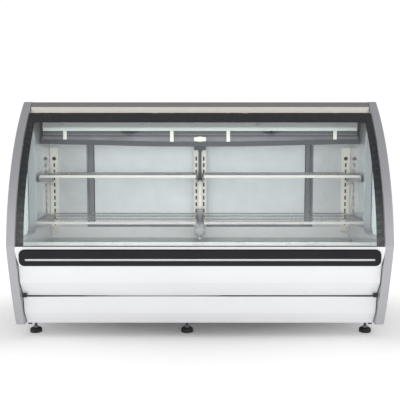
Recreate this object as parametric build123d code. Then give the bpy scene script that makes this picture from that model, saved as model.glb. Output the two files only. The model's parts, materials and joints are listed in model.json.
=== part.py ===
from build123d import *
import math
import os

# A two-metre refrigerated deli case with a curved front glass, in millimetres.
# X runs to the customer's right, the front faces -Y, and the floor is z = 0.

# Overall size
WIDTH = 2000
DEPTH = 1100
HEIGHT = 1295

# Front-to-back places are depths behind the belt line, the foremost line of the end panels.
BUMPER_PROUD = 12
BELT_Y = -DEPTH / 2 + BUMPER_PROUD
REAR_DEPTH = DEPTH - BUMPER_PROUD

# End panels and the arc that they share with the front glass
END_PANEL_T = 46
END_PANEL_X = WIDTH / 2 - END_PANEL_T
LINER_T = 2
LINER_X = END_PANEL_X - LINER_T
PANEL_BOTTOM = 80
BELT_HEIGHT = 537
ARC_RADIUS = 1150
ARC_HEIGHT = 400
ARC_DEPTH = 1142
SKIRT_FOOT_DEPTH = 152
SKIRT_SAGITTA = 12.5
UPPER_REAR_DEPTH = 920
LEDGE_HEIGHT = 500

# Side windows
WINDOW_RIM = 65
WINDOW_REAR_DEPTH = 460
WINDOW_LOW = 545
WINDOW_HIGH = 1140
WINDOW_CORNER = 55
SIDE_GLASS_T = 6
SIDE_GLASS_LAP = 12

# Front glass and its top hinge
GLASS_HALF = 951
GLASS_LOW = 536
GLASS_HIGH = 1228
GLASS_RECESS = 4
GLASS_T = 6
BORDER_T = 0.6
BORDER_SIDE = 40
BORDER_TOP_LOW = 1176
HINGE_DEPTH = 388
HINGE_HEIGHT = 1210
HINGE_BARREL_R = 7
HINGE_PIN_R = 4
RUNNING_GAP = 0.05
HINGE_BRACKET_XS = (-880, -300, 300, 880)
HINGE_BRACKET_W = 16

# Bumper and front panels
BUMPER_HALF = 933
BUMPER_LOW = 433
BUMPER_HIGH = 519
BUMPER_SLOT = (460, 471)
BUMPER_SLOT_HALF = 902
FRONT_PANEL_HALF = 950

# Insulated tub, deck and rear wall
TUB_BOTTOM = 395
TUB_FLOOR = 440
TUB_SILL = 524
TUB_LEDGE = 530
INNER_REAR_DEPTH = 850
DECK_TOP = 455
CEILING = 1245
ROOF_TOP = 1293
FASCIA_REAR = 500
FASCIA_T = 1.5

# Rear door opening and its two sliding leaves
OPENING_HALF = 722
OPENING_HIGH = 1140
JAMB_W = 12
SILL_TOP = 532
LEAF_T = 18
LEAF_LOW = 532.6
LEAF_HIGH = 1127
LEAF_OVERLAP = 20
LEAF_OUTER = 709
INNER_TRACK_DEPTH = 861
OUTER_TRACK_DEPTH = 884
STILE_W = 30
BOTTOM_RAIL = 18
TOP_RAIL = 24
PANE_T = 10

# Shelving
SLOT_PITCH = 41.4
TOP_SLOT_HEIGHT = 962
STANDARD_LOW = 500
STANDARD_DEPTH = 835
SIDE_STANDARD_W = 52
CENTRE_STANDARD_W = 79
BRACKET_T = 3
BRACKET_XS = (-932, -23, 20, 929)
SHELF_GAP_HALF = 24
SHELF_END = 926
UPPER_SHELF = (876, 452)
LOWER_SHELF = (618, 352)
WIRE_R = 1.5
ROD_R = 3
WIRE_PITCH = 60

# Evaporator under the roof
EVAPORATOR_FRONT = 570
EVAPORATOR_LOW = 1100
PAN_END_HEIGHT = 1085
PAN_DROP = 16
PAN_LIP = 28
PAN_FLAT_HALF = 240
PAN_HALF = 945
PAN_REAR = 832
FAN_XS = (-420, 420)
FAN_HEIGHT = 1172
FAN_SHAFT_R = 4
DRAIN_DEPTH = 797

# Base
FOOT_XS = (-926, -73, 932)
FOOT_DEPTHS = (293, 980)
FOOT_PAD_R = 33.5
FOOT_PAD_HIGH = 27
FOOT_STEM_R = 8
BASE_LOW = 80
BASE_HIGH = 110
CONTROL_X = 620
CONTROL_HEIGHT = 425
SWITCH_XS = (CONTROL_X - 90, CONTROL_X - 40)
KNOB_X = CONTROL_X + 60
PANEL_T = 2
LOUVRE_ROWS = 9
REAR_PANEL_DEPTH = 1058
CONDENSER_X = 650
CONDENSER_FAN_HEIGHT = 245
COMPRESSOR_PLACE = (330, 560)


def at(depth, height):
    """A point of the side view: depth behind the belt line, and height."""
    return (BELT_Y + depth, height)


def front_depth(height, inset=0):
    """Depth of the front arc at a height, moved inward by an inset."""
    return ARC_DEPTH - math.sqrt((ARC_RADIUS - inset) ** 2 - (height - ARC_HEIGHT) ** 2)


def front_arc(low, high, inset=0):
    """The stretch of the front arc between two heights."""
    middle = (low + high) / 2
    points = [at(front_depth(height, inset), height) for height in (low, middle, high)]
    return ThreePointArc(*points)


def along_x(face, x_low, x_high):
    """A side-view face run across the case from x_low to x_high."""
    return Pos(x_low, 0, 0) * extrude(Plane.YZ * face, x_high - x_low)


def along_y(face, depth_low, depth_high):
    """A front-view face (x, height) run back from one depth to another."""
    front = Plane(origin=(0, BELT_Y + depth_low, 0), x_dir=(1, 0, 0), z_dir=(0, -1, 0))
    return extrude(front * face, -(depth_high - depth_low))


def profile(points, x_low, x_high):
    """A solid whose side view is the closed outline of (depth, height) points."""
    outline = Polyline(*[at(*point) for point in points], close=True)
    return along_x(make_face(outline), x_low, x_high)


def folded(points, thickness, x_low, x_high, side=Side.LEFT):
    """A sheet bent along (depth, height) points; its thickness lies to one side of them."""
    line = Polyline(*[at(*point) for point in points])
    return along_x(make_face(offset(line, amount=thickness, side=side)), x_low, x_high)


def block(x_low, x_high, depth_low, depth_high, low, high):
    """A box between two x, two depths and two heights."""
    size = (x_high - x_low, depth_high - depth_low, high - low)
    centre = ((x_low + x_high) / 2, BELT_Y + (depth_low + depth_high) / 2, (low + high) / 2)
    return Pos(*centre) * Box(*size)


def rod_x(x_low, x_high, depth, height, radius):
    """A round bar across the case."""
    middle = (x_low + x_high) / 2
    return Pos(middle, BELT_Y + depth, height) * Rot(0, 90, 0) * Cylinder(radius, x_high - x_low)


def rod_y(x, depth_low, depth_high, height, radius):
    """A round bar that runs front to back."""
    middle = BELT_Y + (depth_low + depth_high) / 2
    return Pos(x, middle, height) * Rot(90, 0, 0) * Cylinder(radius, depth_high - depth_low)


def rod_z(x, depth, low, high, radius):
    """An upright round bar."""
    return Pos(x, BELT_Y + depth, (low + high) / 2) * Cylinder(radius, high - low)


def mirrored(part):
    """The same piece on the other end of the case."""
    return mirror(part, about=Plane.YZ)


def group(solids):
    """Separate solids kept together as one node."""
    return Compound(children=[solid for piece in solids for solid in piece.solids()])


# End panels, side windows and liners


def window_face(lap=0):
    """The D-shaped window, grown by a lap."""
    rim = WINDOW_RIM
    arc = front_arc(WINDOW_LOW, WINDOW_HIGH, rim)
    top_rear = at(WINDOW_REAR_DEPTH, WINDOW_HIGH)
    low_rear = at(WINDOW_REAR_DEPTH, WINDOW_LOW)
    sides = Polyline(arc @ 1, top_rear, low_rear, arc @ 0)
    face = fillet(make_face(arc + sides).vertices(), WINDOW_CORNER)
    return offset(face, lap) if lap else face


def end_panel():
    """The left end panel: a thick curved slab with a window, rebated outside for its glass."""
    top_depth = front_depth(HEIGHT)
    skirt_foot = at(SKIRT_FOOT_DEPTH, PANEL_BOTTOM)
    belt = at(front_depth(BELT_HEIGHT), BELT_HEIGHT)
    skirt = SagittaArc(skirt_foot, belt, SKIRT_SAGITTA)
    arc = front_arc(BELT_HEIGHT, HEIGHT)
    rear = Polyline(
        arc @ 1,
        at(UPPER_REAR_DEPTH, HEIGHT),
        at(UPPER_REAR_DEPTH, LEDGE_HEIGHT),
        at(REAR_DEPTH, LEDGE_HEIGHT),
        at(REAR_DEPTH, PANEL_BOTTOM),
        skirt_foot,
    )
    face = make_face(skirt + arc + rear)
    rounded = (
        (at(top_depth, HEIGHT), 18),
        (at(UPPER_REAR_DEPTH, HEIGHT), 25),
        (at(UPPER_REAR_DEPTH, LEDGE_HEIGHT), 12),
        (at(REAR_DEPTH, LEDGE_HEIGHT), 12),
        (at(REAR_DEPTH, PANEL_BOTTOM), 12),
        (skirt_foot, 8),
    )
    for corner, radius in rounded:
        face = fillet(face.vertices().sort_by_distance((*corner, 0))[0], radius)
    outer_x = -WIDTH / 2
    slab = along_x(face, outer_x, -END_PANEL_X)
    outer_edges = slab.edges().filter_by(lambda edge: abs(edge.center().X - outer_x) < 0.01)
    slab = fillet(outer_edges, 7)
    slab -= along_x(window_face(), outer_x, -END_PANEL_X)
    rebate = along_x(window_face(SIDE_GLASS_LAP), outer_x, outer_x + SIDE_GLASS_T + 1)
    return slab - rebate


def side_glass():
    """The left side window's pane, seated in the rebate a millimetre below the panel's face."""
    outer_x = -WIDTH / 2 + 1
    return along_x(window_face(SIDE_GLASS_LAP), outer_x, outer_x + SIDE_GLASS_T)


def side_liner():
    """The left interior side sheet, open where the window is."""
    inset = 25
    arc = front_arc(TUB_LEDGE + 5, CEILING - 2, inset)
    rear = Polyline(
        arc @ 1,
        at(UPPER_REAR_DEPTH - 2, CEILING - 2),
        at(UPPER_REAR_DEPTH - 2, TUB_BOTTOM),
        at(62, TUB_BOTTOM),
        at(62, TUB_LEDGE + 5),
        arc @ 0,
    )
    return along_x(make_face(arc + rear) - window_face(), -END_PANEL_X, -LINER_X)


# Tub, deck, rear wall and roof


def insulated_tub():
    """The foamed tub across the case, with a drain hole in its floor."""
    outline = [
        (60, TUB_LEDGE),
        (172, TUB_LEDGE),
        (190, TUB_FLOOR),
        (INNER_REAR_DEPTH, TUB_FLOOR),
        (INNER_REAR_DEPTH, TUB_SILL),
        (UPPER_REAR_DEPTH, TUB_SILL),
        (UPPER_REAR_DEPTH, TUB_BOTTOM),
        (115, TUB_BOTTOM),
        (62, TUB_FLOOR),
        (60, TUB_FLOOR),
    ]
    tub = profile(outline, -LINER_X, LINER_X)
    return tub - rod_z(0, DRAIN_DEPTH, TUB_BOTTOM - 1, TUB_FLOOR + 1, 15)


def deck_pans():
    """Three lift-out deck pans side by side, the middle one holed for the drain."""
    count = 3
    gap = 2
    sheet = 1.5
    pitch = 2 * (LINER_X - 1) / count
    pans = []
    for index in range(count):
        x_low = -LINER_X + 1 + index * pitch + gap / 2
        x_high = x_low + pitch - gap
        pan = block(x_low, x_high, 196, 848, TUB_FLOOR, DECK_TOP)
        pan -= block(x_low + sheet, x_high - sheet, 196 + sheet, 848 - sheet, TUB_FLOOR, DECK_TOP - sheet)
        pans.append(pan)
    pans[1] -= rod_z(0, DRAIN_DEPTH, TUB_FLOOR, DECK_TOP + 1, 20)
    return group(pans)


def rear_wall_panels():
    """Foamed wall beside and above the door opening."""
    side = block(-LINER_X, -OPENING_HALF, INNER_REAR_DEPTH, UPPER_REAR_DEPTH, TUB_SILL, CEILING)
    header = block(-OPENING_HALF, OPENING_HALF, INNER_REAR_DEPTH, UPPER_REAR_DEPTH, OPENING_HIGH, CEILING)
    return group([side, mirrored(side), header])


def roof():
    """The foamed roof slab, rebated along its front edge for the fascia's flange."""
    slab = block(-END_PANEL_X, END_PANEL_X, 430, UPPER_REAR_DEPTH, CEILING, ROOF_TOP)
    return slab - block(-END_PANEL_X, END_PANEL_X, 430, FASCIA_REAR, ROOF_TOP - FASCIA_T, ROOF_TOP)


def top_fascia():
    """The stainless nose over the roof's front edge."""
    flange = ROOF_TOP - FASCIA_T
    points = [(FASCIA_REAR, flange), (425, flange), (392, 1264), (392, 1232)]
    return folded(points, FASCIA_T, -LINER_X, LINER_X, Side.RIGHT)


# Front glass


def arc_band(outer_inset, inner_inset, low, high, half):
    """A curved sheet between two insets from the front arc."""
    outer = front_arc(low, high, outer_inset)
    inner = front_arc(low, high, inner_inset)
    face = make_face(outer + inner + Line(outer @ 0, inner @ 0) + Line(outer @ 1, inner @ 1))
    return along_x(face, -half, half)


def front_glass():
    """The curved pane."""
    return arc_band(GLASS_RECESS, GLASS_RECESS + GLASS_T, GLASS_LOW, GLASS_HIGH, GLASS_HALF)


def glass_border():
    """The printed border behind the pane: a band along the top and one down each side."""
    inset = GLASS_RECESS + GLASS_T
    band = arc_band(inset, inset + BORDER_T, GLASS_LOW, GLASS_HIGH, GLASS_HALF)
    clear_low = GLASS_LOW - 60
    clear = Rectangle(2 * (GLASS_HALF - BORDER_SIDE), BORDER_TOP_LOW - clear_low)
    clear = Pos(0, (BORDER_TOP_LOW + clear_low) / 2) * fillet(clear.vertices(), 5)
    return band - along_y(clear, -20, 500)


def glass_top_profile():
    """The clamp along the glass's top edge, with the hinge barrel behind it."""
    inset = GLASS_RECESS + GLASS_T + BORDER_T
    half = GLASS_HALF - 6
    clamp = arc_band(inset, inset + 4, GLASS_HIGH - 38, GLASS_HIGH, half)
    arm_points = [
        (front_depth(HINGE_HEIGHT + 6, inset + 3), HINGE_HEIGHT + 6),
        (HINGE_DEPTH, HINGE_HEIGHT + 6),
        (HINGE_DEPTH, HINGE_HEIGHT - 5),
        (front_depth(HINGE_HEIGHT - 5, inset + 3), HINGE_HEIGHT - 5),
    ]
    clamp += profile(arm_points, -half, half)
    clamp += rod_x(-half, half, HINGE_DEPTH, HINGE_HEIGHT, HINGE_BARREL_R)
    clamp -= rod_x(-half, half, HINGE_DEPTH, HINGE_HEIGHT, HINGE_PIN_R + RUNNING_GAP)
    notch_half = HINGE_BRACKET_W / 2 + 2
    for x in HINGE_BRACKET_XS:
        notch = (x - notch_half, x + notch_half, HINGE_DEPTH - 13, HINGE_DEPTH + 20)
        clamp -= block(*notch, HINGE_HEIGHT - 20, HINGE_HEIGHT + 20)
    return clamp


def hinge_brackets():
    """Hinge plates under the roof, each with its pin through the glass's barrel."""
    brackets = []
    for x in HINGE_BRACKET_XS:
        low_x = x - HINGE_BRACKET_W / 2
        high_x = x + HINGE_BRACKET_W / 2
        eye = rod_x(low_x, high_x, HINGE_DEPTH, HINGE_HEIGHT, HINGE_BARREL_R + 1)
        web_points = [
            (HINGE_DEPTH, HINGE_HEIGHT + 8),
            (432, CEILING),
            (470, CEILING),
            (470, CEILING - 8),
            (HINGE_DEPTH + 4, HINGE_HEIGHT - 7),
        ]
        web = profile(web_points, low_x, high_x)
        pin = rod_x(x - 30, x + 30, HINGE_DEPTH, HINGE_HEIGHT, HINGE_PIN_R)
        brackets.append(eye + web + pin)
    return group(brackets)


# Belt, bumper and front panels


def front_belt():
    """The white belt: a channel under the glass and behind the bumper, its lower corners cut back."""
    belt = block(-END_PANEL_X, END_PANEL_X, 2, 60, BUMPER_LOW, 532)
    belt -= block(-END_PANEL_X, END_PANEL_X, 4, 60, BUMPER_LOW + 2, 530)
    edge = -END_PANEL_X
    points = [(edge, 515), (edge + 6, 480), (edge + 22, BUMPER_LOW), (edge, BUMPER_LOW)]
    corner = along_y(make_face(Polyline(*points, close=True)), 1, 61)
    return belt - corner - mirrored(corner)


def glass_seal():
    """The rubber strip that the glass's lower edge closes on."""
    return block(-GLASS_HALF, GLASS_HALF, 3, 13, 532, 535.2)


def front_slot(half, low, high, radius):
    """A front-view rectangle with rounded ends."""
    face = Rectangle(2 * half, high - low)
    return Pos(0, (low + high) / 2) * fillet(face.vertices(), radius)


def bumper_rail():
    """The black bumper: a long racetrack with rounded front edges and a slot."""
    rail = along_y(front_slot(BUMPER_HALF, BUMPER_LOW, BUMPER_HIGH, 30), -BUMPER_PROUD, 2)
    front_edges = rail.edges().filter_by(lambda edge: edge.center().Y < BELT_Y - BUMPER_PROUD + 0.01)
    rail = fillet(front_edges, 8)
    slot_low, slot_high = BUMPER_SLOT
    rail -= along_y(front_slot(BUMPER_SLOT_HALF, slot_low, slot_high, 5.4), -BUMPER_PROUD - 1, 2)
    return rail - block(-BUMPER_SLOT_HALF - 5, BUMPER_SLOT_HALF + 5, -4, 2, slot_low - 5, slot_high + 5)


def bumper_insert():
    """The light strip seen through the bumper's slot."""
    slot_low, slot_high = BUMPER_SLOT
    half = BUMPER_SLOT_HALF + 4
    return block(-half, half, -4, 2, slot_low - 4, slot_high + 4)


def upper_front_panel():
    """The upper lapped panel: an upright face over a slope that tucks under."""
    points = [(68, 430), (54, 430), (71, 330), (134, 256), (134, 248), (150, 248)]
    return folded(points, 2, -FRONT_PANEL_HALF, FRONT_PANEL_HALF)


def lower_front_panel():
    """The lower lapped panel, down to just above the feet."""
    points = [(150, 241), (132, 241), (150, 147), (206, 77), (230, 77)]
    return folded(points, 2, -FRONT_PANEL_HALF, FRONT_PANEL_HALF)


def panel_end_clips():
    """Dark clips at the ends of the panel seam, and blocks under the lower corners."""
    clips = []
    for x_low in (-947, 928):
        face = block(x_low, x_low + 19, 118, 126, 240, 261)
        tongue = block(x_low, x_low + 19, 126, 148, 242, 247)
        clips.append(face + tongue)
        clips.append(block(x_low + 1, x_low + 19, 206, 226, 69, 77))
    return group(clips)


# Lamp under the roof


def lamp_housing():
    """A bent channel with four hangers to the roof and a holder at each end of the lamp."""
    points = [(500, 1134), (500, 1192), (450, 1192), (436, 1152), (442, 1148)]
    housing = folded(points, 2, -900, 900)
    for x in (-780, -260, 260, 780):
        housing += block(x - 15, x + 15, 470, 474, 1190, CEILING)
    for x_low in (-896, 884):
        housing += block(x_low, x_low + 12, 444, 498, 1134, 1189)
    return housing


def lamp_tube():
    """The lamp between its two holders."""
    return rod_x(-884, 884, 457, 1143, 9)


# Evaporator, drip pan and drain


def evaporator_housing():
    """A sheet cover, open below, with a round outlet for each fan."""
    sheet = 1.5
    half = 930
    rear = PAN_REAR + 13
    cover = block(-half, half, EVAPORATOR_FRONT, rear, EVAPORATOR_LOW, CEILING)
    cover -= block(
        -half + sheet, half - sheet, EVAPORATOR_FRONT + sheet, rear - sheet, EVAPORATOR_LOW, CEILING - sheet
    )
    for x in FAN_XS:
        cover -= rod_y(x, EVAPORATOR_FRONT - 1, EVAPORATOR_FRONT + 2, FAN_HEIGHT, 64)
        for bar_low in (FAN_HEIGHT - 24, FAN_HEIGHT + 20):
            cover += block(x - 66, x + 66, EVAPORATOR_FRONT, EVAPORATOR_FRONT + sheet, bar_low, bar_low + 4)
    return cover


def evaporator_coil():
    """The finned block with return bends at one end."""
    coil = block(-840, 840, 700, 820, 1106, 1236)
    bend = Rot(90, 0, 0) * Torus(15, 5)
    for depth in (730, 790):
        for height in (1136, 1206):
            coil += Pos(840, BELT_Y + depth, height) * bend
    return coil


def fan_motor(x, depth_low, depth_high, height, radius, shaft_depth, mount_low):
    """A fan motor with its shaft, standing or hanging on a strap behind it."""
    motor = rod_y(x, depth_low, depth_high, height, radius)
    shaft_low, shaft_high = sorted((shaft_depth, (depth_low + depth_high) / 2))
    motor += rod_y(x, shaft_low, shaft_high, height, FAN_SHAFT_R)
    low, high = sorted((mount_low, height))
    return motor + block(x - 14, x + 14, depth_high, depth_high + 3, low, high)


def fan_motors():
    """Both evaporator motors, hung from the housing, and the condenser motor on the base plate."""
    motors = [fan_motor(x, 625, 675, FAN_HEIGHT, 26, 594, CEILING - 2) for x in FAN_XS]
    motors.append(fan_motor(CONDENSER_X, 880, 925, CONDENSER_FAN_HEIGHT, 38, 965, BASE_HIGH + 2))
    return group(motors)


def fan_rotor(x, depth, height, tip_radius, hub_radius, hub_length, blades):
    """A hub with pitched blades, bored for its shaft; the axis runs front to back."""
    rotor = Rot(90, 0, 0) * Cylinder(hub_radius, hub_length)
    blade_length = tip_radius - hub_radius + 2
    for index in range(blades):
        turn = Rot(0, 360 / blades * index, 0)
        reach = Pos(hub_radius - 2 + blade_length / 2, 0, 0)
        rotor += turn * reach * Rot(35, 0, 0) * Box(blade_length, 2, tip_radius * 0.45)
    rotor -= Rot(90, 0, 0) * Cylinder(FAN_SHAFT_R + RUNNING_GAP, hub_length + 2)
    return Pos(x, BELT_Y + depth, height) * rotor


def drip_pan():
    """The pan under the evaporator, whose floor falls from both ends to a flat middle."""
    low_end = PAN_END_HEIGHT - PAN_LIP
    outer = [
        (-PAN_HALF, PAN_END_HEIGHT),
        (-PAN_FLAT_HALF, PAN_END_HEIGHT - PAN_DROP),
        (PAN_FLAT_HALF, PAN_END_HEIGHT - PAN_DROP),
        (PAN_HALF, PAN_END_HEIGHT),
        (PAN_HALF, low_end),
        (PAN_FLAT_HALF, low_end - PAN_DROP),
        (-PAN_FLAT_HALF, low_end - PAN_DROP),
        (-PAN_HALF, low_end),
    ]
    sheet = 2
    inner = [
        (-PAN_HALF + sheet, PAN_END_HEIGHT + 5),
        (PAN_HALF - sheet, PAN_END_HEIGHT + 5),
        (PAN_HALF - sheet, low_end + sheet),
        (PAN_FLAT_HALF, low_end - PAN_DROP + sheet),
        (-PAN_FLAT_HALF, low_end - PAN_DROP + sheet),
        (-PAN_HALF + sheet, low_end + sheet),
    ]
    pan = along_y(make_face(Polyline(*outer, close=True)), EVAPORATOR_FRONT, PAN_REAR)
    pan -= along_y(make_face(Polyline(*inner, close=True)), EVAPORATOR_FRONT + sheet, PAN_REAR - sheet)
    return pan - rod_z(0, DRAIN_DEPTH, low_end - PAN_DROP - 1, low_end, 10)


def pan_hangers():
    """Four straps from the roof down to the pan's front lip, and the plate that joins pan and cover."""
    straps = []
    for x, height in ((-799, 1083), (-167, 1070), (167, 1070), (799, 1083)):
        straps.append(block(x - 10.5, x + 10.5, EVAPORATOR_FRONT - 3, EVAPORATOR_FRONT, height, CEILING))
    plate_depth = EVAPORATOR_FRONT + 1.5
    plate_top = EVAPORATOR_LOW - 4
    plate = block(-35, 35, plate_depth, plate_depth + 2.5, PAN_END_HEIGHT - PAN_DROP + 4, plate_top)
    plate += block(-12, 12, plate_depth, plate_depth + 2.5, PAN_END_HEIGHT - PAN_DROP, EVAPORATOR_LOW + 20)
    straps.append(plate)
    return group(straps)


def drain_line():
    """Outlet boss and pipe, the light sleeve under it, and the trap that stands in the tub's drain."""
    boss_top = PAN_END_HEIGHT - PAN_LIP - PAN_DROP
    boss = block(-37, 37, DRAIN_DEPTH - 20, DRAIN_DEPTH + 20, boss_top - 25, boss_top)
    pipe = rod_z(0, DRAIN_DEPTH, 830, boss_top - 25, 9.5)
    sleeve = rod_z(0, DRAIN_DEPTH, 665, 830, 14.5)
    cup = rod_z(0, DRAIN_DEPTH, 475, 555, 37)
    cup = fillet(cup.edges().sort_by(Axis.Z)[0], 30)
    neck = rod_z(0, DRAIN_DEPTH, 540, 665, 19)
    outlet = rod_z(0, DRAIN_DEPTH, 165, 480, 14)
    return group([boss + pipe, sleeve, cup + neck + outlet])


# Rear door


def door_frame():
    """Jambs, sill, head and centre mullion of the opening, with guide ribs for two tracks."""
    jamb = block(-OPENING_HALF, -OPENING_HALF + JAMB_W, INNER_REAR_DEPTH, 918, TUB_SILL, OPENING_HIGH)
    frame = jamb + mirrored(jamb)
    half = OPENING_HALF
    frame += block(-half, half, INNER_REAR_DEPTH, 918, TUB_SILL, SILL_TOP)
    frame += block(-half, half, INNER_REAR_DEPTH, 918, OPENING_HIGH - 12, OPENING_HIGH)
    frame += block(-34, 34, INNER_REAR_DEPTH, INNER_REAR_DEPTH + 8, SILL_TOP, OPENING_HIGH - 12)
    ribs = (
        INNER_TRACK_DEPTH - 3,
        (INNER_TRACK_DEPTH + LEAF_T + OUTER_TRACK_DEPTH) / 2 - 1.25,
        OUTER_TRACK_DEPTH + LEAF_T + 1,
    )
    inner_half = half - JAMB_W
    for depth in ribs:
        frame += block(-inner_half, inner_half, depth, depth + 2.5, SILL_TOP, SILL_TOP + 7)
        frame += block(-inner_half, inner_half, depth, depth + 2.5, OPENING_HIGH - 24, OPENING_HIGH - 12)
    return frame


def leaf_opening(x_low, x_high):
    """The x and height limits of a leaf's pane."""
    return (x_low + STILE_W, x_high - STILE_W, LEAF_LOW + BOTTOM_RAIL, LEAF_HIGH - TOP_RAIL)


def door_leaf(x_low, x_high, track_depth, pull_x):
    """A leaf's frame with a finger pull standing 3 mm behind its outer stile."""
    leaf = block(x_low, x_high, track_depth, track_depth + LEAF_T, LEAF_LOW, LEAF_HIGH)
    pane_x_low, pane_x_high, pane_low, pane_high = leaf_opening(x_low, x_high)
    leaf -= block(pane_x_low, pane_x_high, track_depth, track_depth + LEAF_T, pane_low, pane_high)
    rear = track_depth + LEAF_T
    leaf += block(pull_x - 11, pull_x + 11, rear, rear + 3, 700, 860)
    return leaf - block(pull_x - 7, pull_x + 7, rear - 9, rear + 3, 706, 854)


def door_pane(x_low, x_high, track_depth):
    """A leaf's double pane."""
    pane_x_low, pane_x_high, pane_low, pane_high = leaf_opening(x_low, x_high)
    middle = track_depth + LEAF_T / 2
    return block(pane_x_low, pane_x_high, middle - PANE_T / 2, middle + PANE_T / 2, pane_low, pane_high)


# Shelving


def standard(x_middle, width, high, columns, skipped_rows):
    """A slotted upright: a shallow channel with rows of slots, the first rows from the top left out."""
    low = STANDARD_LOW
    sheet = 2
    x_low = x_middle - width / 2
    x_high = x_middle + width / 2
    upright = block(x_low, x_high, STANDARD_DEPTH, INNER_REAR_DEPTH, low, high)
    upright -= block(x_low + sheet, x_high - sheet, STANDARD_DEPTH + sheet, INNER_REAR_DEPTH, low, high)
    rows = int((TOP_SLOT_HEIGHT - 25 - low) / SLOT_PITCH) + 1
    for row in range(skipped_rows, rows):
        slot_low = TOP_SLOT_HEIGHT - row * SLOT_PITCH - 12.5
        for x in columns:
            upright -= block(x - 5, x + 5, STANDARD_DEPTH - 1, STANDARD_DEPTH + 3, slot_low, slot_low + 25)
    return upright


def shelf_standards():
    """The two corner uprights, with a round hole in place of the top slot, and the wide centre one."""
    side_x = LINER_X - 1 - SIDE_STANDARD_W / 2
    left = standard(-side_x, SIDE_STANDARD_W, 1032, (-side_x,), 1)
    left -= rod_y(-side_x, STANDARD_DEPTH - 1, STANDARD_DEPTH + 3, TOP_SLOT_HEIGHT, 12.5)
    centre = standard(0, CENTRE_STANDARD_W, 1098, (-24, 24), 0)
    return group([left, mirrored(left), centre])


def shelf_bracket(x_low, shelf_height, front):
    """A tapered side plate, deep at the upright and shallow with a rounded nose at the front."""
    top = shelf_height - ROD_R - 3
    outline = Polyline(
        at(STANDARD_DEPTH, top),
        at(front + 4, top),
        at(front + 4, top - 30),
        at(STANDARD_DEPTH - 60, top - 54),
        at(STANDARD_DEPTH, top - 54),
        close=True,
    )
    face = make_face(outline)
    nose = face.vertices().sort_by_distance((*at(front + 4, top - 30), 0))[0]
    return along_x(fillet(face.vertices().filter_by(lambda v: v == nose), 22), x_low, x_low + BRACKET_T)


def shelf_brackets():
    """Four plates under each level."""
    levels = (UPPER_SHELF, LOWER_SHELF)
    return group([shelf_bracket(x, height, front) for height, front in levels for x in BRACKET_XS])


def wire_shelf(x_low, x_high, height, front):
    """A welded rack: bars across the case under thin wires that run front to back."""
    rear = STANDARD_DEPTH - 5
    rod_height = height - ROD_R
    depths = [front + 10 + index * (rear - front - 20) / 3 for index in range(4)]
    shelf = Part()
    for depth in depths:
        shelf += rod_x(x_low, x_high, depth, rod_height, ROD_R)
    count = round((x_high - x_low - 10) / WIRE_PITCH)
    for index in range(count + 1):
        x = x_low + 5 + index * (x_high - x_low - 10) / count
        shelf += rod_y(x, front + 8, rear, height + WIRE_R - 0.5, WIRE_R)
    return shelf


def shelf_pair(level):
    """The left and right racks of one level."""
    left = wire_shelf(-SHELF_END, -SHELF_GAP_HALF, *level)
    return group([left, mirrored(left)])


def price_rails():
    """Front strips of the four racks."""
    rails = []
    for height, front in (UPPER_SHELF, LOWER_SHELF):
        low = height - 14
        high = height + 1
        points = [(front + 3, low), (front, low), (front, high), (front + 6, high)]
        rail = folded(points, 1.5, -SHELF_END, -SHELF_GAP_HALF, Side.RIGHT)
        rails += [rail, mirrored(rail)]
    return group(rails)


# Rear ledge, rear panel and controls


def rear_ledge():
    """The stainless loading ledge under the rear doors."""
    wall = UPPER_REAR_DEPTH + 2
    points = [(wall, 522), (wall, LEDGE_HEIGHT), (REAR_DEPTH, LEDGE_HEIGHT), (REAR_DEPTH, 466), (1072, 466)]
    return folded(points, 2, -END_PANEL_X, END_PANEL_X, Side.RIGHT)


def rear_panel():
    """The louvred cover of the machine bay, cut out behind the control plate."""
    panel = block(-950, 950, REAR_PANEL_DEPTH, REAR_PANEL_DEPTH + PANEL_T, 92, 464)
    for x in (-600, 0, 600):
        for row in range(LOUVRE_ROWS):
            height = 140 + row * 26
            panel -= block(x - 170, x + 170, REAR_PANEL_DEPTH - 1, REAR_PANEL_DEPTH + 3, height, height + 9)
            slope = [
                (REAR_PANEL_DEPTH + PANEL_T, height + 9),
                (REAR_PANEL_DEPTH + PANEL_T, height + 12),
                (REAR_PANEL_DEPTH + 12, height + 1),
                (REAR_PANEL_DEPTH + 11, height),
            ]
            panel += profile(slope, x - 170, x + 170)
    window = (CONTROL_X - 120, CONTROL_X + 100, REAR_PANEL_DEPTH - 1, REAR_PANEL_DEPTH + 3)
    return panel - block(*window, CONTROL_HEIGHT - 20, CONTROL_HEIGHT + 20)


def control_panel():
    """The control plate: two switch windows with pivot ears behind, and the knob's bush."""
    front = REAR_PANEL_DEPTH + PANEL_T
    low = CONTROL_HEIGHT - 30
    plate = block(CONTROL_X - 140, CONTROL_X + 120, front, front + 3, low, low + 60)
    for x in SWITCH_XS:
        plate -= block(x - 15, x + 15, front - 10, front + 5, CONTROL_HEIGHT - 11, CONTROL_HEIGHT + 11)
        for side in (-1, 1):
            ear_low, ear_high = sorted((x + side * 15, x + side * 18))
            plate += block(ear_low, ear_high, front - 8, front, CONTROL_HEIGHT - 6, CONTROL_HEIGHT + 6)
        plate -= rod_x(x - 17, x + 17, front - 3, CONTROL_HEIGHT, 1.5 + RUNNING_GAP)
    plate += rod_y(KNOB_X, front - 8, front, CONTROL_HEIGHT, 8)
    return plate - rod_y(KNOB_X, front - 9, front + 4, CONTROL_HEIGHT, 3 + RUNNING_GAP)


def rocker_switch(x):
    """A rocker stored in its on position, tilted about its pivot pin."""
    pivot_depth = REAR_PANEL_DEPTH + PANEL_T - 3
    rocker = Box(28, 14, 18)
    rocker += Rot(0, 90, 0) * Cylinder(1.5, 33)
    return Pos(x, BELT_Y + pivot_depth, CONTROL_HEIGHT) * Rot(-8, 0, 0) * rocker


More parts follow.
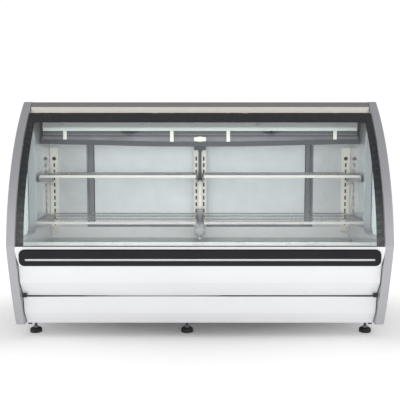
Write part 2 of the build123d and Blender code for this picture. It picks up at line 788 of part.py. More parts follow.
def thermostat_knob():
    """A knob with a pointer rib, on a shaft through its bush."""
    front = REAR_PANEL_DEPTH + PANEL_T + 3
    knob = rod_y(KNOB_X, front + 1, front + 15, CONTROL_HEIGHT, 17)
    knob += block(KNOB_X - 1.5, KNOB_X + 1.5, front + 15, front + 17, CONTROL_HEIGHT, CONTROL_HEIGHT + 15)
    return knob + rod_y(KNOB_X, front - 14, front + 1, CONTROL_HEIGHT, 3)


def cable_gland():
    """The mains inlet's gland in the rear panel."""
    face = REAR_PANEL_DEPTH + PANEL_T
    hexagon = Pos(850, 170) * RegularPolygon(14, 6)
    gland = along_y(hexagon, face, face + 7)
    gland += rod_y(850, face + 7, face + 20, 170, 10)
    return gland - rod_y(850, face + 8, face + 21, 170, 4)


# Base and refrigeration


def base_frame():
    """Rails and plate on the feet, four posts, and the bearers under the tub."""
    half = 945
    frame = block(-half, half, 232, 1050, BASE_HIGH, BASE_HIGH + 2)
    for depth in FOOT_DEPTHS:
        frame += block(-half, half, depth - 20, depth + 20, BASE_LOW, BASE_HIGH)
    for x in (-925, 925):
        frame += block(x - 20, x + 20, FOOT_DEPTHS[0], FOOT_DEPTHS[1], BASE_LOW, BASE_HIGH)
    for depth in (FOOT_DEPTHS[0], 895):
        frame += block(-half, half, depth - 15, depth + 15, TUB_BOTTOM - 20, TUB_BOTTOM)
        for x in (-930, 930):
            frame += block(x - 15, x + 15, depth - 15, depth + 15, BASE_HIGH, TUB_BOTTOM)
    for depth in FOOT_DEPTHS:
        for x in FOOT_XS:
            frame -= rod_z(x, depth, BASE_LOW - 1, BASE_HIGH - 1, FOOT_STEM_R + RUNNING_GAP)
    return frame


def levelling_foot(x, depth):
    """A pad, hexagon and stem, screwed up into a rail."""
    pad = rod_z(x, depth, 0, FOOT_PAD_HIGH, FOOT_PAD_R)
    pad = fillet(pad.edges().sort_by(Axis.Z)[-1], 10)
    pad = fillet(pad.edges().sort_by(Axis.Z)[0], 5)
    hexagon = Pos(x, BELT_Y + depth, FOOT_PAD_HIGH) * extrude(RegularPolygon(12, 6), 10)
    return pad + hexagon + rod_z(x, depth, FOOT_PAD_HIGH, BASE_HIGH - 2, FOOT_STEM_R)


def compressor():
    """A domed can on a four-cornered foot plate with grommets, and its terminal box."""
    x, depth = COMPRESSOR_PLACE
    floor = BASE_HIGH + 2
    can = rod_z(x, depth, floor + 12, floor + 190, 85)
    can = fillet(can.edges().filter_by(GeomType.CIRCLE), 35)
    can += block(x - 105, x + 105, depth - 75, depth + 75, floor + 8, floor + 12)
    for side_x in (-88, 88):
        for side_depth in (-60, 60):
            can += rod_z(x + side_x, depth + side_depth, floor, floor + 8, 13)
    return can + block(x - 120, x - 70, depth - 30, depth + 30, floor + 60, floor + 130)


def condenser_coil():
    """The finned condenser behind the rear panel."""
    return block(500, 800, 990, 1040, BASE_HIGH + 2, 372)


def condenser_shroud():
    """A plate in front of the condenser, with the fan's round opening."""
    shroud = block(500, 800, 982, 990, BASE_HIGH + 2, 372)
    return shroud - rod_y(CONDENSER_X, 980, 992, CONDENSER_FAN_HEIGHT, 118)


def bent_pipe(points, radius, bend):
    """A pipe along (x, depth, height) points with equal bends."""
    corners = [(x, BELT_Y + depth, height) for x, depth, height in points]
    path = FilletPolyline(*corners, radius=bend)
    section = Plane(origin=path @ 0, z_dir=path % 0) * Circle(radius)
    return sweep(section, path=path)


def refrigerant_lines():
    """The receiver, and the discharge, liquid and suction lines as bent copper."""
    x, depth = COMPRESSOR_PLACE
    floor = BASE_HIGH + 2
    receiver = fillet(rod_z(150, 820, floor, floor + 200, 45).edges().filter_by(GeomType.CIRCLE), 20)
    turn_x = x + 140
    discharge = [(x + 85, depth, 200), (turn_x, depth, 200), (turn_x, 1010, 200), (500, 1010, 200)]
    liquid = [(500, 1010, 150), (240, 1010, 150), (240, 820, 150), (195, 820, 150)]
    suction = [(x, depth - 85, 230), (x, 380, 230), (880, 380, 230), (880, 380, TUB_BOTTOM)]
    pipes = [bent_pipe(discharge, 5, 24), bent_pipe(liquid, 4, 22), bent_pipe(suction, 7, 30)]
    return group([receiver, *pipes])


def condensate_tray():
    """The tray under the tub's drain."""
    floor = BASE_HIGH + 2
    tray = block(-260, 80, 660, 900, floor, floor + 40)
    return tray - block(-258, 78, 662, 898, floor + 2, floor + 40)


left_leaf = (-LEAF_OUTER, LEAF_OVERLAP, INNER_TRACK_DEPTH)
right_leaf = (-LEAF_OVERLAP, LEAF_OUTER, OUTER_TRACK_DEPTH)
pull_inset = STILE_W / 2
left_panel = end_panel()
left_liner = side_liner()
left_glass = side_glass()

nodes = {
    "left_end_panel": left_panel,
    "right_end_panel": mirrored(left_panel),
    "side_glasses": group([left_glass, mirrored(left_glass)]),
    "side_liners": group([left_liner, mirrored(left_liner)]),
    "insulated_tub": insulated_tub(),
    "deck_pans": deck_pans(),
    "rear_wall_panels": rear_wall_panels(),
    "roof": roof(),
    "top_fascia": top_fascia(),
    "front_glass": front_glass(),
    "glass_border": glass_border(),
    "glass_top_profile": glass_top_profile(),
    "glass_hinge_brackets": hinge_brackets(),
    "front_belt": front_belt(),
    "glass_seal": glass_seal(),
    "bumper_rail": bumper_rail(),
    "bumper_insert": bumper_insert(),
    "upper_front_panel": upper_front_panel(),
    "lower_front_panel": lower_front_panel(),
    "panel_end_clips": panel_end_clips(),
    "lamp_housing": lamp_housing(),
    "lamp_tube": lamp_tube(),
    "evaporator_housing": evaporator_housing(),
    "evaporator_coil": evaporator_coil(),
    "fan_motors": fan_motors(),
    "left_evaporator_fan": fan_rotor(FAN_XS[0], 601, FAN_HEIGHT, 58, 18, 16, 5),
    "right_evaporator_fan": fan_rotor(FAN_XS[1], 601, FAN_HEIGHT, 58, 18, 16, 5),
    "drip_pan": drip_pan(),
    "pan_hangers": pan_hangers(),
    "drain_line": drain_line(),
    "door_frame": door_frame(),
    "left_door_frame": door_leaf(*left_leaf, -LEAF_OUTER + pull_inset),
    "left_door_glass": door_pane(*left_leaf),
    "right_door_frame": door_leaf(*right_leaf, LEAF_OUTER - pull_inset),
    "right_door_glass": door_pane(*right_leaf),
    "shelf_standards": shelf_standards(),
    "shelf_brackets": shelf_brackets(),
    "upper_shelves": shelf_pair(UPPER_SHELF),
    "lower_shelves": shelf_pair(LOWER_SHELF),
    "price_rails": price_rails(),
    "rear_ledge": rear_ledge(),
    "rear_panel": rear_panel(),
    "control_panel": control_panel(),
    "thermostat_knob": thermostat_knob(),
    "power_switch": rocker_switch(SWITCH_XS[0]),
    "light_switch": rocker_switch(SWITCH_XS[1]),
    "cable_gland": cable_gland(),
    "base_frame": base_frame(),
    "compressor": compressor(),
    "condenser_coil": condenser_coil(),
    "condenser_shroud": condenser_shroud(),
    "condenser_fan": fan_rotor(CONDENSER_X, 955, CONDENSER_FAN_HEIGHT, 108, 30, 24, 5),
    "refrigerant_lines": refrigerant_lines(),
    "condensate_tray": condensate_tray(),
}

for row, depth in zip(("front", "rear"), FOOT_DEPTHS):
    for place, x in zip(("left", "middle", "right"), FOOT_XS):
        nodes[f"foot_{row}_{place}"] = levelling_foot(x, depth)

os.makedirs("parts", exist_ok=True)
for name, node in nodes.items():
    export_step(node, f"parts/{name}.step")
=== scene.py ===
import json
import math

import bmesh
import bpy
from mathutils import Matrix, Vector


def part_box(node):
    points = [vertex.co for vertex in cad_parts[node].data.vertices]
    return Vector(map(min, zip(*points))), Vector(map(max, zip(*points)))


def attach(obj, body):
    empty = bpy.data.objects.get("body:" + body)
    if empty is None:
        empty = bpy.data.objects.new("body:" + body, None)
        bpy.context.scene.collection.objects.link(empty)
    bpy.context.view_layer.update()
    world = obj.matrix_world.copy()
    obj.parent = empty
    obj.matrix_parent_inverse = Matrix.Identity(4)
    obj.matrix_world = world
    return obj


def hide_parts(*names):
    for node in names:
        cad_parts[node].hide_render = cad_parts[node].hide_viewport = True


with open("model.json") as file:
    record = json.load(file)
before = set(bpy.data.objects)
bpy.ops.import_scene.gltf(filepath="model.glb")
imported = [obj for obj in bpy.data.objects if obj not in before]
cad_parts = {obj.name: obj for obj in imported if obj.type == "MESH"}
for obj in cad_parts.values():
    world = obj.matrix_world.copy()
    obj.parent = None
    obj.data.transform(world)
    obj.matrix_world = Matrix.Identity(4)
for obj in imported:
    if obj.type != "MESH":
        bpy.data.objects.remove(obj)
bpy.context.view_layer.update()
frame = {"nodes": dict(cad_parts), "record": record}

CABINET = "cabinet"
nodes = frame["nodes"]


# ---------------------------------------------------------------- materials


def srgb(red, green, blue):
    """A linear colour from 0-255 display values."""

    def linear(value):
        value /= 255
        return value / 12.92 if value <= 0.04045 else ((value + 0.055) / 1.055) ** 2.4

    return (linear(red), linear(green), linear(blue), 1.0)


def shade(colour, factor):
    """The same colour, darker or lighter."""
    return tuple(min(1.0, channel * factor) for channel in colour[:3]) + (1.0,)


class Surface:
    """A material with one Principled shader, and helpers that add its procedural detail."""

    def __init__(self, name, colour, roughness, metallic=0.0, **sockets):
        self.material = bpy.data.materials.new(name)
        self.material.use_nodes = True
        self.tree = self.material.node_tree
        self.shader = self.tree.nodes["Principled BSDF"]
        self.shader.inputs["Base Color"].default_value = colour
        self.shader.inputs["Roughness"].default_value = roughness
        self.shader.inputs["Metallic"].default_value = metallic
        for socket, value in sockets.items():
            self.shader.inputs[socket.replace("_", " ")].default_value = value
        self.height = None

    def node(self, kind, **settings):
        made = self.tree.nodes.new(kind)
        for name, value in settings.items():
            setattr(made, name, value)
        return made

    def link(self, output, target):
        self.tree.links.new(output, target)

    def place(self, stretch=(1, 1, 1)):
        """Coordinates in metres in the case's own frame, scaled per axis."""
        coordinates = self.node("ShaderNodeTexCoord")
        mapping = self.node("ShaderNodeMapping")
        mapping.inputs["Scale"].default_value = stretch
        self.link(coordinates.outputs["Object"], mapping.inputs["Vector"])
        return mapping.outputs["Vector"]

    def noise(self, scale, stretch=(1, 1, 1), detail=3.0):
        texture = self.node("ShaderNodeTexNoise")
        texture.inputs["Scale"].default_value = scale
        texture.inputs["Detail"].default_value = detail
        self.link(self.place(stretch), texture.inputs["Vector"])
        return texture.outputs["Fac"]

    def cells(self, scale, stretch=(1, 1, 1)):
        texture = self.node("ShaderNodeTexVoronoi")
        texture.inputs["Scale"].default_value = scale
        self.link(self.place(stretch), texture.inputs["Vector"])
        return texture

    def spread(self, value, low, high, at_low=0.3, at_high=0.7):
        """Maps a texture's value from its usual range to the one wanted."""
        remap = self.node("ShaderNodeMapRange")
        remap.inputs["From Min"].default_value = at_low
        remap.inputs["From Max"].default_value = at_high
        remap.inputs["To Min"].default_value = low
        remap.inputs["To Max"].default_value = high
        self.link(value, remap.inputs["Value"])
        return remap.outputs["Result"]

    def colours(self, value, low_colour, high_colour):
        """Colour that runs between two as a texture goes from low to high."""
        ramp = self.node("ShaderNodeValToRGB")
        ramp.color_ramp.elements[0].position = 0.3
        ramp.color_ramp.elements[0].color = low_colour
        ramp.color_ramp.elements[1].position = 0.7
        ramp.color_ramp.elements[1].color = high_colour
        self.link(value, ramp.inputs["Fac"])
        self.link(ramp.outputs["Color"], self.shader.inputs["Base Color"])

    def rough(self, value, low, high):
        self.link(self.spread(value, low, high), self.shader.inputs["Roughness"])

    def bump(self, value, distance):
        """Relief of that depth in metres, added over any relief already there."""
        node = self.node("ShaderNodeBump")
        node.inputs["Strength"].default_value = 1.0
        node.inputs["Distance"].default_value = distance
        self.link(value, node.inputs["Height"])
        if self.height is not None:
            self.link(self.height, node.inputs["Normal"])
        self.height = node.outputs["Normal"]
        self.link(self.height, self.shader.inputs["Normal"])


def enamel(name, colour, roughness=0.3, mottle=0.97, peel=0.00004, coat=0.25):
    """Stoved paint on sheet: faint clouding, orange peel, and handling marks in its gloss."""
    surface = Surface(name, colour, roughness, Coat_Weight=coat, Coat_Roughness=0.12)
    surface.colours(surface.noise(2.2, detail=5.0), shade(colour, mottle), colour)
    surface.rough(surface.noise(9.0, detail=6.0), roughness * 0.8, roughness * 1.25)
    surface.bump(surface.noise(260.0, detail=2.0), peel)
    return surface.material


def brushed(name, colour, roughness, stretch=(1, 90, 90)):
    """Metal with a grain along X."""
    surface = Surface(name, colour, roughness, 1.0)
    grain = surface.noise(14.0, stretch, 4.0)
    surface.colours(grain, shade(colour, 0.86), shade(colour, 1.08))
    surface.rough(surface.noise(10.0, stretch, 2.0), roughness * 0.75, roughness * 1.3)
    surface.bump(grain, 0.00002)
    return surface.material


def grained_plastic(name, colour, roughness, grain=0.00006, specular=0.5):
    """Moulded plastic with a fine spark-eroded grain and slight shine where it is handled."""
    surface = Surface(name, colour, roughness, Specular_IOR_Level=specular)
    surface.colours(surface.noise(6.0, detail=5.0), shade(colour, 0.85), shade(colour, 1.2))
    surface.rough(surface.noise(14.0, detail=4.0), roughness * 0.8, roughness * 1.2)
    surface.bump(surface.noise(900.0, detail=2.0), grain)
    return surface.material


def clear_glass(name, tint, veil, veil_colour=(1, 1, 1, 1)):
    """Flat or bent pane: light passes straight through, and it mirrors by angle. A veil of dust and
    bloom lies over it, uneven as wiped glass is."""
    material = bpy.data.materials.new(name)
    material.use_nodes = True
    tree = material.node_tree
    tree.nodes.clear()
    output = tree.nodes.new("ShaderNodeOutputMaterial")
    through = tree.nodes.new("ShaderNodeBsdfTransparent")
    through.inputs["Color"].default_value = tint
    gloss = tree.nodes.new("ShaderNodeBsdfGlossy")
    gloss.inputs["Roughness"].default_value = 0.02
    gloss.inputs["Color"].default_value = (1.0, 1.0, 1.0, 1.0)
    facing = tree.nodes.new("ShaderNodeLayerWeight")
    steep = tree.nodes.new("ShaderNodeMath")
    steep.operation = "POWER"
    steep.inputs[1].default_value = 5.0
    schlick = tree.nodes.new("ShaderNodeMath")
    schlick.operation = "MULTIPLY_ADD"
    schlick.inputs[1].default_value = 0.96
    schlick.inputs[2].default_value = 0.035
    mix = tree.nodes.new("ShaderNodeMixShader")
    tree.links.new(facing.outputs["Facing"], steep.inputs[0])
    tree.links.new(steep.outputs["Value"], schlick.inputs[0])
    tree.links.new(schlick.outputs["Value"], mix.inputs["Fac"])
    tree.links.new(through.outputs["BSDF"], mix.inputs[1])
    tree.links.new(gloss.outputs["BSDF"], mix.inputs[2])
    dust = tree.nodes.new("ShaderNodeBsdfDiffuse")
    dust.inputs["Color"].default_value = veil_colour
    coordinates = tree.nodes.new("ShaderNodeTexCoord")
    streaks = tree.nodes.new("ShaderNodeTexNoise")
    streaks.inputs["Scale"].default_value = 3.0
    streaks.inputs["Detail"].default_value = 5.0
    tree.links.new(coordinates.outputs["Object"], streaks.inputs["Vector"])
    amount = tree.nodes.new("ShaderNodeMapRange")
    amount.inputs["From Min"].default_value = 0.25
    amount.inputs["From Max"].default_value = 0.75
    amount.inputs["To Min"].default_value = veil * 0.8
    amount.inputs["To Max"].default_value = veil * 1.2
    tree.links.new(streaks.outputs["Fac"], amount.inputs["Value"])
    cover = tree.nodes.new("ShaderNodeMixShader")
    tree.links.new(amount.outputs["Result"], cover.inputs["Fac"])
    tree.links.new(mix.outputs["Shader"], cover.inputs[1])
    tree.links.new(dust.outputs["BSDF"], cover.inputs[2])
    tree.links.new(cover.outputs["Shader"], output.inputs["Surface"])
    return material


def polished_liner():
    """Bright sheet that mirrors what stands beside it, under a thin haze of wiping marks."""
    colour = srgb(216, 220, 222)
    surface = Surface("liner_white", colour, 0.07, 0.45, Coat_Weight=0.5, Coat_Roughness=0.03)
    surface.colours(surface.noise(3.0, detail=5.0), shade(colour, 0.96), colour)
    surface.rough(surface.noise(8.0, (1, 1, 4), 5.0), 0.05, 0.12)
    return surface.material


def end_panel_paint():
    """Metallic grey sheet with faint upright brushing."""
    colour = srgb(174, 175, 179)
    surface = Surface("end_panel_paint", colour, 0.38, 0.35, Coat_Weight=0.3, Coat_Roughness=0.2)
    grain = surface.noise(12.0, (70, 70, 1), 4.0)
    surface.colours(grain, shade(colour, 0.93), shade(colour, 1.04))
    surface.rough(surface.noise(7.0, (30, 30, 1), 3.0), 0.32, 0.44)
    surface.bump(surface.noise(700.0), 0.00002)
    return surface.material


def galvanised():
    """Zinc spangle on the base frame."""
    colour = srgb(150, 152, 155)
    surface = Surface("frame_galvanised", colour, 0.45, 0.9)
    spangle = surface.cells(60.0).outputs["Distance"]
    surface.colours(spangle, shade(colour, 0.8), shade(colour, 1.1))
    surface.rough(spangle, 0.35, 0.6)
    surface.bump(spangle, 0.00003)
    return surface.material


def finned_coil():
    """The face of a fin stack: fine upright fins, the gaps between them painted in shade."""
    colour = srgb(150, 154, 156)
    surface = Surface("coil_aluminium", colour, 0.4, 0.85)
    fins_and_gap_shade = surface.node("ShaderNodeTexWave", bands_direction="X")
    fins_and_gap_shade.inputs["Scale"].default_value = 110.0
    surface.link(surface.place(), fins_and_gap_shade.inputs["Vector"])
    # The dark bands are painted shade in the gaps between the fins.
    surface.colours(fins_and_gap_shade.outputs["Fac"], shade(colour, 0.35), colour)
    surface.rough(surface.noise(20.0), 0.3, 0.55)
    surface.bump(fins_and_gap_shade.outputs["Fac"], 0.0012)
    return surface.material


def frosted_lamp():
    """The lamp's lit opal tube."""
    colour = (0.56, 0.58, 0.58, 1.0)
    surface = Surface("lamp_white", colour, 0.4)
    surface.shader.inputs["Emission Color"].default_value = colour
    surface.shader.inputs["Emission Strength"].default_value = 0.12
    surface.colours(surface.noise(30.0), shade(colour, 0.96), colour)
    return surface.material


def rubber(name):
    """Matt black rubber with a bloom."""
    colour = srgb(38, 38, 41)
    surface = Surface(name, colour, 0.7)
    surface.colours(surface.noise(18.0, detail=6.0), shade(colour, 0.8), shade(colour, 1.5))
    surface.bump(surface.noise(500.0), 0.00008)
    return surface.material


def copper():
    colour = srgb(196, 122, 84)
    surface = Surface("copper", colour, 0.3, 1.0)
    surface.colours(surface.noise(25.0, detail=6.0), shade(colour, 0.6), shade(colour, 1.1))
    surface.rough(surface.noise(40.0), 0.2, 0.5)
    return surface.material


materials = {
    "end_panel_paint": end_panel_paint(),
    "side_glass": clear_glass("side_glass", (0.9, 0.96, 0.965, 1.0), veil=0.02),
    "liner_white": polished_liner(),
    "tub_white": enamel("tub_white", srgb(244, 245, 244), 0.3),
    "deck_steel": brushed("deck_steel", srgb(190, 191, 192), 0.35),
    "rear_wall_white": enamel("rear_wall_white", srgb(216, 219, 220), 0.28),
    "roof_steel": brushed("roof_steel", srgb(186, 184, 180), 0.35),
    "fascia_steel": brushed("fascia_steel", srgb(210, 204, 199), 0.3),
    "front_glass": clear_glass("front_glass", (0.958, 0.972, 0.971, 1.0), veil=0.01),
    "border_black": enamel("border_black", srgb(19, 19, 22), 0.3, 0.9, 0.00001, 0.1),
    "clamp_aluminium": brushed("clamp_aluminium", srgb(150, 152, 156), 0.35),
    "hinge_steel": brushed("hinge_steel", srgb(160, 160, 162), 0.35),
    "belt_white": enamel("belt_white", srgb(246, 246, 247), 0.22),
    "seal_rubber": rubber("seal_rubber"),
    "bumper_black": grained_plastic("bumper_black", srgb(22, 22, 26), 0.36, specular=0.25),
    "insert_silver": enamel("insert_silver", srgb(250, 250, 252), 0.3),
    "front_panel_white": enamel("front_panel_white", srgb(231, 232, 234), 0.2, coat=0.5),
    "clip_black": grained_plastic("clip_black", srgb(30, 40, 38), 0.5),
    "lamp_housing_grey": enamel("lamp_housing_grey", srgb(170, 172, 174), 0.35),
    "lamp_white": frosted_lamp(),
    "evaporator_cover": enamel("evaporator_cover", srgb(84, 86, 89), 0.4),
    "coil_aluminium": finned_coil(),
    "motor_black": enamel("motor_black", srgb(40, 41, 44), 0.45),
    "fan_black": grained_plastic("fan_black", srgb(34, 35, 38), 0.4),
    "pan_grey": enamel("pan_grey", srgb(72, 74, 77), 0.4),
    "strap_white": enamel("strap_white", srgb(243, 242, 229), 0.3),
    "drain_grey": grained_plastic("drain_grey", srgb(92, 93, 96), 0.4),
    "door_frame_grey": grained_plastic("door_frame_grey", srgb(122, 124, 131), 0.4),
    "leaf_grey": enamel("leaf_grey", srgb(124, 126, 133), 0.38),
    "pane_glass": clear_glass("pane_glass", (0.9, 0.94, 0.95, 1.0), veil=0.85, veil_colour=srgb(240, 243, 245)),
    "standard_cream": enamel("standard_cream", srgb(252, 249, 238), 0.35),
    "bracket_grey": enamel("bracket_grey", srgb(160, 161, 164), 0.35),
    "shelf_wire": brushed("shelf_wire", srgb(214, 213, 210), 0.22, (30, 30, 30)),
    "price_rail_white": enamel("price_rail_white", srgb(188, 187, 180), 0.25),
    "ledge_steel": brushed("ledge_steel", srgb(190, 190, 190), 0.33),
    "rear_panel_grey": enamel("rear_panel_grey", srgb(176, 178, 182), 0.35),
    "control_plate": grained_plastic("control_plate", srgb(48, 49, 52), 0.4),
    "knob_black": grained_plastic("knob_black", srgb(30, 30, 32), 0.35),
    "switch_black": grained_plastic("switch_black", srgb(26, 26, 28), 0.2, 0.00002),
    "gland_black": grained_plastic("gland_black", srgb(28, 28, 29), 0.4),
    "frame_galvanised": galvanised(),
    "compressor_black": enamel("compressor_black", srgb(30, 31, 34), 0.35),
    "shroud_black": enamel("shroud_black", srgb(46, 47, 50), 0.45),
    "copper": copper(),
    "tray_steel": brushed("tray_steel", srgb(176, 176, 176), 0.35),
    "foot_black": rubber("foot_black"),
}

for part in frame["record"]["subparts"]:
    slots = nodes[part["node"]].material_slots
    for slot in slots:
        slot.material = materials[part["material_slot"]]
    if not slots:
        nodes[part["node"]].data.materials.append(materials[part["material_slot"]])


# ---------------------------------------------------------------- pieces


def keep(mesh_in_work, name, slot, body=CABINET, replaces=None):
    """Turns a bmesh into a piece that rides on a body and takes its finish from a slot."""
    bmesh.ops.recalc_face_normals(mesh_in_work, faces=mesh_in_work.faces)
    mesh = bpy.data.meshes.new(name)
    mesh_in_work.to_mesh(mesh)
    mesh_in_work.free()
    mesh.polygons.foreach_set("use_smooth", [True] * len(mesh.polygons))
    mesh.set_sharp_from_angle(angle=math.radians(32))
    mesh.materials.append(materials[slot])
    piece = bpy.data.objects.new(name, mesh)
    bpy.context.scene.collection.objects.link(piece)
    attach(piece, body)
    if replaces:
        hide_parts(replaces)


def basis(axis):
    """Two directions square to an axis."""
    axis = Vector(axis).normalized()
    helper = Vector((0, 0, 1)) if abs(axis.z) < 0.9 else Vector((1, 0, 0))
    first = axis.cross(helper).normalized()
    return axis, first, axis.cross(first)


def join_rings(work, rings):
    for ring, following in zip(rings, rings[1:]):
        count = len(ring)
        for index in range(count):
            after = (index + 1) % count
            work.faces.new((ring[index], ring[after], following[after], following[index]))


def lathe(work, origin, axis, outline, segments=28, socket=None):
    """Turned shape from (radius, distance along the axis) points. The rings numbered in socket are hexagons."""
    axis, first, second = basis(axis)
    rings = []
    for number, (radius, along) in enumerate(outline):
        ring = []
        for index in range(segments):
            angle = 2 * math.pi * index / segments
            reach = radius
            if socket and number in socket:
                reach = radius * math.cos(math.pi / 6) / math.cos((angle % (math.pi / 3)) - math.pi / 6)
            spoke = first * math.cos(angle) + second * math.sin(angle)
            ring.append(work.verts.new(Vector(origin) + axis * along + spoke * reach))
        rings.append(ring)
    join_rings(work, rings)
    work.faces.new(rings[0])
    work.faces.new(rings[-1])


def tube(work, points, radius, segments=8, closed=False):
    """Round bar along a line of points."""
    points = [Vector(point) for point in points]
    count = len(points)
    rings = []
    for index, point in enumerate(points):
        before = points[index - 1] if index or closed else point
        after = points[(index + 1) % count] if index < count - 1 or closed else point
        _, first, second = basis(after - before)
        angles = [2 * math.pi * step / segments for step in range(segments)]
        rings.append([work.verts.new(point + (first * math.cos(a) + second * math.sin(a)) * radius) for a in angles])
    join_rings(work, rings + rings[:1] if closed else rings)
    if not closed:
        work.faces.new(rings[0])
        work.faces.new(rings[-1])


def slab(work, low, high, bevel=0.0008):
    """A box with softened edges."""
    size = Vector(high) - Vector(low)
    place = Matrix.Translation((Vector(low) + Vector(high)) / 2) @ Matrix.Diagonal((*size, 1.0))
    made = bmesh.ops.create_cube(work, size=1.0, matrix=place)
    if bevel:
        edges = {edge for vertex in made["verts"] for edge in vertex.link_edges}
        limit = min(bevel, min(size) * 0.4)
        bmesh.ops.bevel(work, geom=list(edges), offset=limit, segments=2, profile=0.5, affect="EDGES")


def screw(work, place, axis, radius=0.004):
    """A button head with a hexagon socket, seated on a washer."""
    outline = [
        (radius * 1.45, 0.0),
        (radius * 1.45, radius * 0.14),
        (radius, radius * 0.14),
        (radius * 0.93, radius * 0.42),
        (radius * 0.7, radius * 0.68),
        (radius * 0.48, radius * 0.76),
        (radius * 0.46, radius * 0.3),
        (radius * 0.05, radius * 0.28),
    ]
    lathe(work, place, axis, outline, 24, socket=(5, 6))


FRONT = (0, -1, 0)
BACK = (0, 1, 0)
UP = (0, 0, 1)

# Places in metres along X, and heights, that no single node's box gives.
HANGER_XS = (-0.799, -0.167, 0.167, 0.799)
HANGER_CLEAR = 0.014
SIDE_UPRIGHT_WIDTH = 0.052
SIDE_UPRIGHT_TOP = 1.032
CENTRE_UPRIGHT_HALF = 0.0395
DRAIN_PIPE_END = 0.83
LAMP_LIP_LOW = 1.1325
LAMP_LIP_HIGH = 1.1475
FOOT_NUT_LOW = 0.0272


def ribbon(work, stations):
    """A four-cornered strip through stations of (x, front, back, low, high)."""
    rings = []
    for x, front, back, low, high in stations:
        corners = ((front, low), (front, high), (back, high), (back, low))
        rings.append([work.verts.new((x, y, z)) for y, z in corners])
    join_rings(work, rings)
    work.faces.new(rings[0])
    work.faces.new(rings[-1])


def wire_rack(node, name):
    """Both racks of a level: bars across under close wires whose front ends turn down."""
    low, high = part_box(node)
    pitch = 0.025
    wire_r = 0.0013
    rod_r = 0.003
    top = high.z - wire_r
    rod_height = high.z - 0.0055
    front = low.y
    rear = high.y
    work = bmesh.new()
    for side in (-1, 1):
        inner = 0.024
        outer = high.x
        for index in range(4):
            depth = front + 0.002 + index * (rear - front - 0.012) / 3
            ends = [(side * inner, depth, rod_height), (side * outer, depth, rod_height)]
            tube(work, ends, rod_r, 12)
        count = round((outer - inner - 0.01) / pitch)
        for index in range(count + 1):
            x = side * (inner + 0.005 + index * (outer - inner - 0.01) / count)
            nose = front - 0.0005
            points = [(x, nose, rod_height), (x, nose + 0.0004, top - 0.001), (x, nose + 0.0022, top), (x, rear, top)]
            tube(work, points, wire_r, 6)
    keep(work, name, "shelf_wire", replaces=node)


def drain_pieces():
    """Boss and dark pipe, pale ribbed sleeve, clip, and the tube and bulb of the trap."""
    low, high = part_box("drain_line")
    x = 0.0
    y = (low.y + high.y) / 2
    top = high.z
    work = bmesh.new()
    slab(work, (x - 0.037, y - 0.02, top - 0.025), (x + 0.037, y + 0.02, top), 0.003)
    stop = DRAIN_PIPE_END
    outline = [(0.0125, top - 0.025), (0.0125, top - 0.034), (0.0095, top - 0.036), (0.0095, stop + 0.014)]
    outline += [(0.0118, stop + 0.012), (0.0118, stop), (0.009, stop - 0.002)]
    lathe(work, (x, y, 0), UP, outline)
    keep(work, "drain_outlet", "drain_grey", replaces="drain_line")
    work = bmesh.new()
    outline = [(0.0105, 0.8285), (0.014, 0.826), (0.0145, 0.79)]
    for rib in range(9):
        height = 0.784 - rib * 0.012
        outline += [(0.0145, height), (0.0136, height - 0.003), (0.0136, height - 0.005), (0.0145, height - 0.008)]
    outline += [(0.0145, 0.674), (0.0125, 0.6705)]
    lathe(work, (x, y, 0), UP, outline)
    keep(work, "drain_sleeve", "standard_cream")
    work = bmesh.new()
    outline = [(0.0125, 0.672), (0.0165, 0.671), (0.0172, 0.66), (0.0165, 0.65), (0.013, 0.649)]
    lathe(work, (x, y, 0), UP, outline)
    slab(work, (x - 0.005, y - 0.022, 0.655), (x + 0.005, y - 0.016, 0.666), 0.001)
    keep(work, "drain_clip", "strap_white")
    work = bmesh.new()
    outline = [(0.012, 0.65), (0.0165, 0.648), (0.0185, 0.6), (0.0195, 0.575), (0.024, 0.566)]
    lathe(work, (x, y, 0), UP, outline)
    keep(work, "drain_tube", "bracket_grey")
    work = bmesh.new()
    outline = [(0.018, 0.57), (0.027, 0.567), (0.033, 0.558), (0.036, 0.545), (0.0362, 0.53), (0.034, 0.526)]
    outline += [(0.034, 0.522), (0.0362, 0.518), (0.0355, 0.5), (0.031, 0.484), (0.022, 0.473), (0.014, 0.47)]
    outline += [(0.014, low.z + 0.002), (0.0125, low.z)]
    lathe(work, (x, y, 0), UP, outline, 36)
    keep(work, "drain_bulb", "rear_wall_white")


def fan_guards():
    """Ringed wire guards over the two outlets of the evaporator cover."""
    low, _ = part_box("evaporator_housing")
    work = bmesh.new()
    for node in ("left_evaporator_fan", "right_evaporator_fan"):
        fan_low, fan_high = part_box(node)
        x = (fan_low.x + fan_high.x) / 2
        z = (fan_low.z + fan_high.z) / 2
        for radius, lift in ((0.066, 0.002), (0.053, 0.005), (0.04, 0.007), (0.027, 0.008), (0.014, 0.0085)):
            turns = [2 * math.pi * step / 40 for step in range(40)]
            ring = [(x + radius * math.cos(a), low.y - lift, z + radius * math.sin(a)) for a in turns]
            tube(work, ring, 0.001, 6, closed=True)
        for arm in range(6):
            angle = math.pi / 6 + arm * math.pi / 3
            spoke = []
            for radius, lift in ((0.013, 0.0085), (0.04, 0.0075), (0.066, 0.002), (0.07, 0.0012)):
                spoke.append((x + radius * math.cos(angle), low.y - lift, z + radius * math.sin(angle)))
            tube(work, spoke, 0.0012, 6)
    keep(work, "fan_guards", "motor_black")


